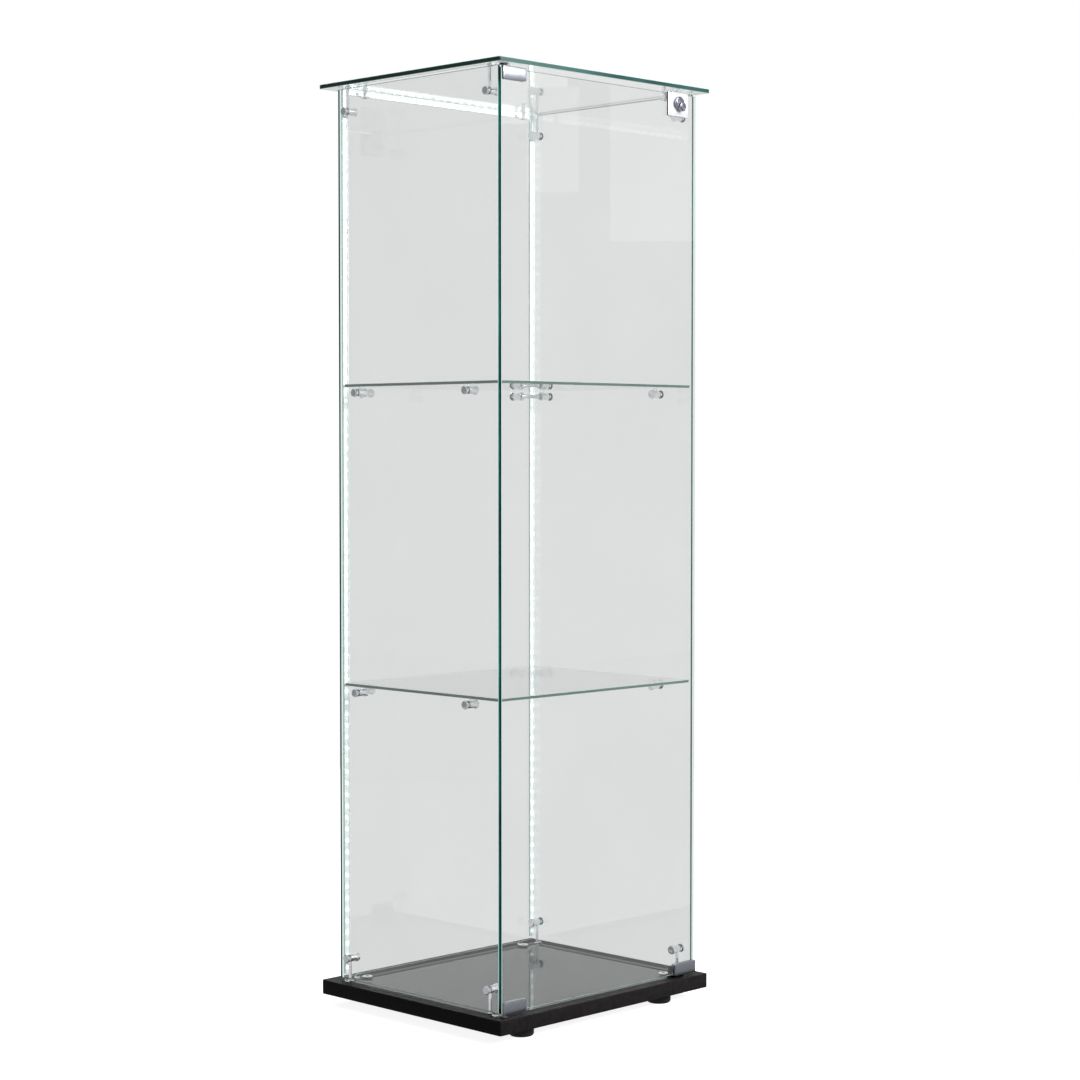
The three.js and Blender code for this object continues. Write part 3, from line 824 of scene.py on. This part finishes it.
# ------------------------------------------------------------------ studs
for corner in CORNERS:
    centre = centre_of(f"floor_stud_{corner}", 0, 1)
    low, high = box_mm(f"floor_stud_{corner}")
    neck, top = board_high[2] + GAP, high[2]
    # Material 1 is painted shade in the centre hole.
    profile = [
        (3.1, low[2], 0),
        (3.1, neck, 0),
        (5.2, neck, 0),
        (5.2, top - 1.8, 0),
        (7.2, top - 1.8, 0),
        (7.7, top - 1.3, 0),
        (7.7, top - 0.5, 0),
        (7.1, top, 0),
        (2.6, top, 1),
        (2.2, top - 0.9, 1),
    ]
    mesh = turned_mesh(f"floor_disc_{corner}", "z", centre, profile)
    name, node = f"floor_disc_{corner}", f"floor_stud_{corner}"
    piece(name, mesh, [CHROME, PAINTED_SHADE_METAL], "case", "fittings", node)
    low, high = box_mm(f"top_stud_{corner}")
    base, top = low[2], high[2]
    # Material 1 is painted shade in the hole underneath.
    profile = [
        (2.2, base + 0.9, 1),
        (2.6, base, 0),
        (7.1, base, 0),
        (7.7, base + 0.5, 0),
        (7.7, base + 1.3, 0),
        (7.1, base + 1.8, 0),
        (3.2, base + 2.1, 0),
        (3.2, top - 2.0, 0),
        (4.6, top - 1.2, 0),
        (4.6, top, 0),
    ]
    mesh = turned_mesh(f"top_disc_{corner}", "z", centre, profile)
    name, node = f"top_disc_{corner}", f"top_stud_{corner}"
    piece(name, mesh, [CHROME, PAINTED_SHADE_METAL], "case", "fittings", node)

# ------------------------------------------------------------------ LED strip
low, high = box_mm("led_strip")
outer_x, front_y, back_y = high[0], low[1], high[1]
WIDTH, TOP_WIDTH, PITCH = 10.5, 8.0, 16.7
RAIL = 1.0
CHIP, TOP_CHIP, CHIP_DEPTH = 2.5, 2.2, 1.3  # half sizes on the uprights and the top
tape_front = back_y - 1.0


def strip_part(name, inset, near, far, bevel=0.1):
    """The strip's U, made narrower by an inset on each edge."""
    top = high[2] - inset
    inner_top = high[2] - TOP_WIDTH + inset
    blocks = []
    for sign in (-1, 1):
        spans = sorted((sign * (outer_x - inset), sign * (outer_x - WIDTH + inset)))
        first = (spans[0], near, low[2] + inset)
        blocks.append(block_mesh(name, first, (spans[1], far, top), bevel))
    limit = outer_x - WIDTH + inset
    blocks.append(block_mesh(name, (-limit, near, inner_top), (limit, far, top), bevel))
    return merged(name, *blocks)


mesh = strip_part("led_tape", 0.0, tape_front, back_y)
piece("led_tape", mesh, [LED_TAPE], "case", "led_strip", "led_strip")

rails = []
for sign in (-1, 1):
    for edge, cut in ((outer_x - 1.1, 0), (outer_x - WIDTH + 0.1, TOP_WIDTH)):
        spans = sorted((sign * edge, sign * (edge + RAIL)))
        first = (spans[0], front_y, low[2])
        rails.append(block_mesh("rail", first, (spans[1], tape_front, high[2] - cut), 0.3))
for edge, span in ((high[2] - RAIL, outer_x - 1.2), (high[2] - TOP_WIDTH, outer_x - WIDTH)):
    first = (-span, front_y, edge)
    rails.append(block_mesh("rail", first, (span, tape_front, edge + RAIL), 0.3))
piece("led_sleeve", merged("led_sleeve", *rails), [LED_RAIL], "case", "led_strip")

column = outer_x - WIDTH / 2
row = high[2] - TOP_WIDTH / 2
count = int((high[2] - TOP_WIDTH - low[2]) / PITCH)
across = int((2 * outer_x - WIDTH) / PITCH)
places = []
for sign in (-1, 1):
    places += [(sign * column, low[2] + PITCH * (i + 0.5), CHIP) for i in range(count)]
places += [((i - (across - 1) / 2) * PITCH, row, TOP_CHIP) for i in range(across)]
chips = []
for x, z, rise in places:
    first = (x - CHIP, tape_front - CHIP_DEPTH, z - rise)
    chips.append(block_mesh("chip", first, (x + CHIP, tape_front, z + rise), 0.4))
piece("led_chips", merged("led_chips", *chips), [LED_CHIP], "case", "led_strip")


# ------------------------------------------------------------------ door plates
def plate(name, axis, levels, low, high, corner=1.5, holes=(), bevel=0.3):
    """A thin plate with round corners and soft edges."""
    mesh = sheet_mesh(
        name, axis, levels, rounded(low, high, corner), holes, bevel=bevel, steps=2
    )
    for face in mesh.polygons:
        face.material_index = 0
    return mesh


WEB = 2.0  # thickness of a clip's web, which lies across the edge of the door
glass_low, glass_high = box_mm("door_glass")


def clip_meshes(node, front_x, back_x, front_thick, back_thick, web_up):
    """Front plate, back plate, web and grub screws of a clip over the door's edge."""
    low, high = box_mm(node)
    pin = "hinge" in node
    z_low, z_high = low[2], high[2]
    if pin and web_up:
        z_high = glass_high[2] + GAP + WEB
    if pin and not web_up:
        z_low = glass_low[2] - GAP - WEB
    front, back = low[1], high[1]
    first = (z_low, front_x[0])
    second = (z_high, front_x[1])
    face = plate("front_plate", "y", (front, front + front_thick), first, second)
    first = (z_low, back_x[0])
    second = (z_high, back_x[1])
    rear = plate("back_plate", "y", (back - back_thick, back), first, second)
    web_low = z_high - 1.8 if web_up else z_low + 0.15
    web_high = z_high - 0.15 if web_up else z_low + 1.8
    web = block_mesh(
        "web",
        (back_x[0] + 0.4, front + 0.6, web_low),
        (back_x[1] - 0.4, back - 0.5, web_high),
        0.2,
    )
    screws = []
    middle = (z_low + z_high) / 2 + (-1.2 if web_up else 1.2)
    for share in (0.3, 0.75):
        x = back_x[0] + share * (back_x[1] - back_x[0])
        # Material 1 is painted shade in the screw's socket.
        profile = [
            (2.6, back - 0.1, 0),
            (2.6, back - 0.04, 0),
            (1.4, back - 0.04, 1),
            (1.2, back - 0.02, 1),
        ]
        screws.append(turned_mesh("grub", "y", (x, middle), profile, radius=0.02))
    return [face, rear, web, *screws], (z_low, z_high)


for level, up in (("lower", False), ("upper", True)):
    node = f"{level}_hinge_clamp"
    low, high = box_mm(node)
    front_x = (high[0] - 42.5, high[0])
    back_x = (glass_low[0] + 5, high[0])
    meshes, span = clip_meshes(node, front_x, back_x, 1.9, 1.7, up)
    pin_low = span[1] - 1 if up else low[2]
    pin_high = high[2] if up else span[0] + 1
    meshes.append(
        turned_mesh("pin", "z", PIVOT, [(2.5, pin_low, 0), (2.5, pin_high, 0)], radius=0.4)
    )
    mesh = merged(f"{level}_clamp", *meshes)
    piece(f"{level}_clamp", mesh, [SATIN, PAINTED_SHADE_METAL], "door", "door_plates", node)
    node = f"{level}_hinge_bush"
    low, high = box_mm(node)
    flange = (high[2] - 1.8, high[2]) if not up else (low[2], low[2] + 1.8)
    if up:
        profile = [
            (2.75, low[2]),
            (5.2, low[2]),
            (5.6, low[2] + 0.5),
            (5.6, flange[1]),
            (4.2, flange[1]),
            (4.2, high[2]),
            (2.75, high[2]),
        ]
    else:
        profile = [
            (4.2, low[2]),
            (4.2, flange[0]),
            (5.6, flange[0]),
            (5.6, high[2] - 0.5),
            (5.2, high[2]),
            (2.75, high[2]),
            (2.75, low[2]),
        ]
    mesh = turned_mesh(f"{level}_bush", "z", PIVOT, profile, radius=0.2, tube=True)
    piece(f"{level}_bush", mesh, [NYLON], "case", "bushes", node)

low, high = box_mm("magnet_clip")
span_x = (low[0], high[0])
meshes, _ = clip_meshes("magnet_clip", span_x, span_x, 2.5, 1.8, False)
mesh = merged("strike_clip", *meshes)
piece("strike_clip", mesh, [SATIN, PAINTED_SHADE_METAL], "door", "door_plates", "magnet_clip")

low, high = box_mm("magnet_catch")
body_mesh = block_mesh("magnet_body", (low[0], low[1] + 0.9, low[2]), high, 0.8)
lip_mesh = block_mesh(
    "magnet_lip", (low[0] + 3, low[1] + 0.5, high[2] - 0.6), (high[0] - 3, high[1] - 2, high[2])
)
mesh = merged("magnet_body", body_mesh, lip_mesh)
piece("magnet_body", mesh, [MAGNET_BLACK], "case", "magnet", "magnet_catch")
poles = [
    block_mesh(
        "pole",
        (low[0] + 4, low[1], low[2] + z),
        (high[0] - 4, low[1] + 2, low[2] + z + 2),
        0.2,
    )
    for z in (3.4, 8.8)
]
piece("magnet_poles", merged("magnet_poles", *poles), [CHROME], "case", "magnet")

# ------------------------------------------------------------------ lock
low, high = box_mm("lock_body")
plate_low, plate_high = (low[2], low[0]), (high[2], high[0])
plate_back = DOOR_FRONT - GAP
plate_front = plate_back - 2.5
levels = (plate_front, plate_back)
face_mesh = plate("lock_face", "y", levels, plate_low, plate_high, 1.2, bevel=0.4)
# The plate's sides and bevels get the dark metal as painted shade.
for face in face_mesh.polygons:
    face.material_index = 0 if face.normal.y < -0.9 else 1
boss = (plug_x - 3.5, plug_z + 5.5)
plug = (plug_x, plug_z)
root = plate_front + 1
profile = [(8.2, plate_front - 4.5, 2), (9, plate_front - 3.7, 2), (9, root, 2)]
boss_mesh = turned_mesh("lock_boss", "y", boss, profile, sides=56)
collar_front = plate_front - 7
# Material 1 is painted shade in the collar's bore.
profile = [
    (5.15, collar_front + 3, 1),
    (5.15, collar_front, 2),
    (6.1, collar_front, 2),
    (6.6, collar_front + 0.5, 2),
    (6.6, root, 2),
]
collar_mesh = turned_mesh("lock_collar", "y", plug, profile, sides=56, radius=0.2)
profile = [(8.5, root), (8.5, DOOR_BACK + 2)]
barrel_mesh = turned_mesh("lock_barrel", "y", plug, profile, sides=56)
mesh = merged("lock_case", face_mesh, boss_mesh, collar_mesh, barrel_mesh)
metals = [LOCK_CHROME, PAINTED_SHADE_METAL, LOCK_TURNED]
piece("lock_case", mesh, metals, "door", "lock", "lock_body")

low, high = box_mm("lock_back_plate")
hole = circle((plug_z, plug_x), 8.8)
first, second = (low[2], low[0]), (high[2], high[0])
mesh = plate("lock_rear", "y", (low[1], high[1]), first, second, 3, [hole])
screws = []
for z in (low[2] + 4.4, high[2] - 4.4):
    # Material 1 is painted shade in the screw's socket.
    profile = [
        (2.2, high[1] - 0.3, 0),
        (2.2, high[1] - 0.08, 0),
        (1.6, high[1], 0),
        (1.0, high[1], 1),
        (0.9, high[1] - 0.1, 1),
    ]
    screws.append(turned_mesh("screw", "y", (low[0] + 5, z), profile, radius=0.05))
mesh = merged("lock_rear", mesh, *screws)
piece("lock_rear", mesh, [LOCK_CHROME, PAINTED_SHADE_METAL], "door", "lock", "lock_back_plate")

low, high = box_mm("lock_plug")
profile = [(4.6, low[1]), (5.0, low[1] + 0.4), (5.0, high[1])]
mesh = turned_mesh("lock_core", "y", plug, profile, sides=56, radius=0.15)
core = piece("lock_core", mesh, [LOCK_TURNED], "lock", "lock", "lock_plug")
first = (plug_x - 0.55, low[1] - 1, plug_z - 3)
second = (plug_x + 0.55, low[1] + 2.5, plug_z + 3)
carve(core, block_mesh("keyway", first, second, 0.1))

low, high = box_mm("lock_cam")
levels = (low[1], low[1] + 2)
first, second = (plug_z - 4.5, plug_x - 4), (plug_z + 4.5, high[0])
arm = plate("cam_arm", "y", levels, first, second, 2, bevel=0.25)
profile = [(5.5, levels[0]), (5.5, levels[1])]
hub = turned_mesh("cam_hub", "y", plug, profile, sides=48)
profile = [(3.4, low[1] + 1.5), (3.4, high[1] - 0.4), (2.9, high[1])]
nut = turned_mesh("cam_nut", "y", plug, profile, sides=6, radius=0.1)
mesh = merged("cam_plate", arm, hub, nut)
piece("cam_plate", mesh, [SATIN], "lock", "lock", "lock_cam")

low, high = box_mm("lock_strike")
levels = (high[2] - 1.5, high[2])
flat = plate("strike_top", "z", levels, low[:2], high[:2], 2)
levels = (low[1], low[1] + 1.3)
first, second = (low[2], low[0]), (high[2], high[0])
tongue = plate("strike_tongue", "y", levels, first, second, 2)
mesh = merged("strike_angle", flat, tongue)
piece("strike_angle", mesh, [LOCK_CHROME], "case", "lock", "lock_strike")

# ------------------------------------------------------------------ clear pads
PAD_HALF = 4  # half a pad's length along its pane
LOWER_HALF, UPPER_HALF = 2.4, 1.9  # half a pad's width under and over a pane
PAD_GAP = 0.03
wall_low, wall_high = (corner[2] for corner in box_mm("back_glass"))
lower_span = (board_high[2] + SHEET_LIFT, wall_low - PAD_GAP)
upper_span = (wall_high + PAD_GAP, box_mm("top_glass")[0][2] - PAD_GAP)
places = []
for sign in (-1, 1):
    for y in (wall_front_y + 9, back_inner_y - 9):
        places.append((sign * (inner_x + 2), y, False))
places += [(x, back_inner_y + 2, True) for x in (-165, 165)]
pads = []
for x, y, along_x in places:
    for half, span, bevel in ((LOWER_HALF, lower_span, 0.6), (UPPER_HALF, upper_span, 0.3)):
        wide, deep = (PAD_HALF, half) if along_x else (half, PAD_HALF)
        first = (x - wide, y - deep, span[0])
        pads.append(block_mesh("pad", first, (x + wide, y + deep, span[1]), bevel))
piece("pane_pads", merged("pane_pads", *pads), [PAD], "case", "fittings")


# ------------------------------------------------------------------ stage
PASSED = 0.852  # brightness of the backdrop for light that has passed through glass
MIRRORED = 0.50  # brightness of the room in reflections
FILLED = 0.22  # brightness of the room for diffuse surfaces


def stage_mesh(name, corners, material):
    mesh = bpy.data.meshes.new(name)
    mesh.from_pydata([tuple(c) for c in corners], [], [tuple(range(len(corners)))])
    made = link(name, mesh, [material])
    return made


def by_ray(tree, kind, usual, *choices):
    """A shader that is `usual` except for the kinds of ray named; a number is a glow."""

    def glow(value):
        if not isinstance(value, (int, float)):
            return value
        node = tree.nodes.new(kind)
        node.inputs["Color"].default_value = (1, 1, 1, 1)
        node.inputs["Strength"].default_value = value
        return node.outputs[0]

    path = tree.nodes.new("ShaderNodeLightPath")
    last = glow(usual)
    for ray, value in choices:
        mix = tree.nodes.new("ShaderNodeMixShader")
        tree.links.new(path.outputs[ray], mix.inputs["Fac"])
        tree.links.new(last, mix.inputs[1])
        tree.links.new(glow(value), mix.inputs[2])
        last = mix.outputs[0]
    return last


def studio_floor():
    made, tree = new_material("studio_floor")
    even = {"Specular IOR Level": 0.0}
    first, second = (0.50, 0.50, 0.50), (0.54, 0.54, 0.54)
    paper = add_shader(tree, first, second, (0.8, 0.9), 3, sockets=even)
    paper.inputs["Emission Color"].default_value = (1, 1, 1, 1)
    paper.inputs["Emission Strength"].default_value = 0.9
    shown = by_ray(
        tree,
        "ShaderNodeEmission",
        MIRRORED,
        ("Is Diffuse Ray", FILLED),
        ("Is Transmission Ray", PASSED),
        ("Is Camera Ray", paper.outputs[0]),
    )
    show(tree, shown)
    return made


def panel(name, corners, brightness):
    """A glowing sheet that shows only in reflections."""
    made, tree = new_material(name)
    glow = tree.nodes.new("ShaderNodeEmission")
    glow.inputs["Strength"].default_value = brightness
    show(tree, glow.outputs[0])
    sheet = stage_mesh(name, corners, made)
    sheet.visible_camera = False
    sheet.visible_diffuse = False
    sheet.visible_transmission = False
    sheet.visible_shadow = False


def card(name, place, size, brightness):
    """An upright panel that faces the case."""
    centre = Vector(place)
    facing = Vector((-centre.x, -centre.y, 0)).normalized()
    across = Vector((0, 0, 1)).cross(facing) * size[0] / 2
    rise = Vector((0, 0, size[1] / 2))
    corners = [
        centre - across - rise,
        centre + across - rise,
        centre + across + rise,
        centre - across + rise,
    ]
    panel(name, corners, brightness)


FLOOR_RADIUS = 2.6
steps = [2 * math.pi * i / 96 for i in range(96)]
disc = [(FLOOR_RADIUS * math.cos(s), FLOOR_RADIUS * math.sin(s), 0) for s in steps]
stage_mesh("studio_floor", disc, studio_floor())

# The door mirrors the room at +X -Y and the left wall the room at -X +Y.
card("window_left", (2.88, -3.09, 1.75), (0.16, 0.32), 1.25)
card("window_right", (3.10, -2.87, 1.68), (0.27, 0.48), 1.25)
card("window_high", (2.79, -3.19, 2.02), (0.36, 0.44), 1.9)
card("dark_side", (-2.6, 2.6, 1.2), (4.4, 3.4), 0.30)
card("dark_strip", (-3.4, -0.6, 0.9), (0.5, 3.0), 0.05)
card("bright_card_camera", (-2.9, -2.4, 1.9), (0.8, 1.3), 1.5)
ceiling_corners = ((-1.3, -1.5), (1.5, -1.5), (1.5, 1.3), (-1.3, 1.3))
panel("ceiling", [(x, y, 3.4) for x, y in ceiling_corners], 1.3)

world = bpy.data.worlds.new("studio")
bpy.context.scene.world = world
world.use_nodes = True
tree = world.node_tree
tree.nodes.clear()
room = by_ray(
    tree,
    "ShaderNodeBackground",
    MIRRORED,
    ("Is Diffuse Ray", FILLED),
    ("Is Transmission Ray", PASSED),
    ("Is Camera Ray", 1.0),
)
world_out = tree.nodes.new("ShaderNodeOutputWorld")
tree.links.new(room, world_out.inputs["Surface"])


def lamp(name, place, target, size, power):
    data = bpy.data.lights.new(name, "AREA")
    data.shape = "RECTANGLE"
    data.size, data.size_y = size
    data.energy = power
    made = bpy.data.objects.new(name, data)
    bpy.context.scene.collection.objects.link(made)
    made.location = place
    run = Vector(target) - Vector(place)
    made.rotation_mode = "QUATERNION"
    made.rotation_quaternion = run.to_track_quat("-Z", "Y")
    made.visible_camera = False
    made.visible_transmission = False
    return made


lamp("key_front", (1.4, -3.4, 2.6), (0, 0, 0.6), (1.6, 1.6), 260)
lamp("overhead", (0.2, -0.1, 3.6), (0, 0, 0), (2.4, 2.4), 60)
lamp("rim_back", (1.4, 2.6, 2.4), (0, 0, 0.7), (1.4, 1.4), 35)

# ------------------------------------------------------------------ camera and look
CAMERA_PLACE = (-2.4740, -2.4986, 0.80585)
CAMERA_LENS = 80.976
AZIMUTH, PITCH_UP = math.radians(45.29), -0.038  # direction of view, in radians
camera_data = bpy.data.cameras.new("camera")
camera_data.lens = CAMERA_LENS
camera_data.sensor_width = 36
camera_data.clip_end = 60
camera = bpy.data.objects.new("camera", camera_data)
bpy.context.scene.collection.objects.link(camera)
camera.location = CAMERA_PLACE
level_run = math.cos(PITCH_UP)
look = Vector(
    (math.sin(AZIMUTH) * level_run, math.cos(AZIMUTH) * level_run, math.sin(PITCH_UP))
)
camera.rotation_mode = "QUATERNION"
camera.rotation_quaternion = look.to_track_quat("-Z", "Y")
scene = bpy.context.scene
scene.camera = camera
scene.view_settings.view_transform = "Standard"
scene.view_settings.look = "None"
scene.cycles.max_bounces = 14
scene.cycles.transmission_bounces = 14
scene.cycles.transparent_max_bounces = 16
scene.cycles.glossy_bounces = 6
scene.cycles.diffuse_bounces = 2
scene.cycles.caustics_reflective = False
scene.cycles.caustics_refractive = False
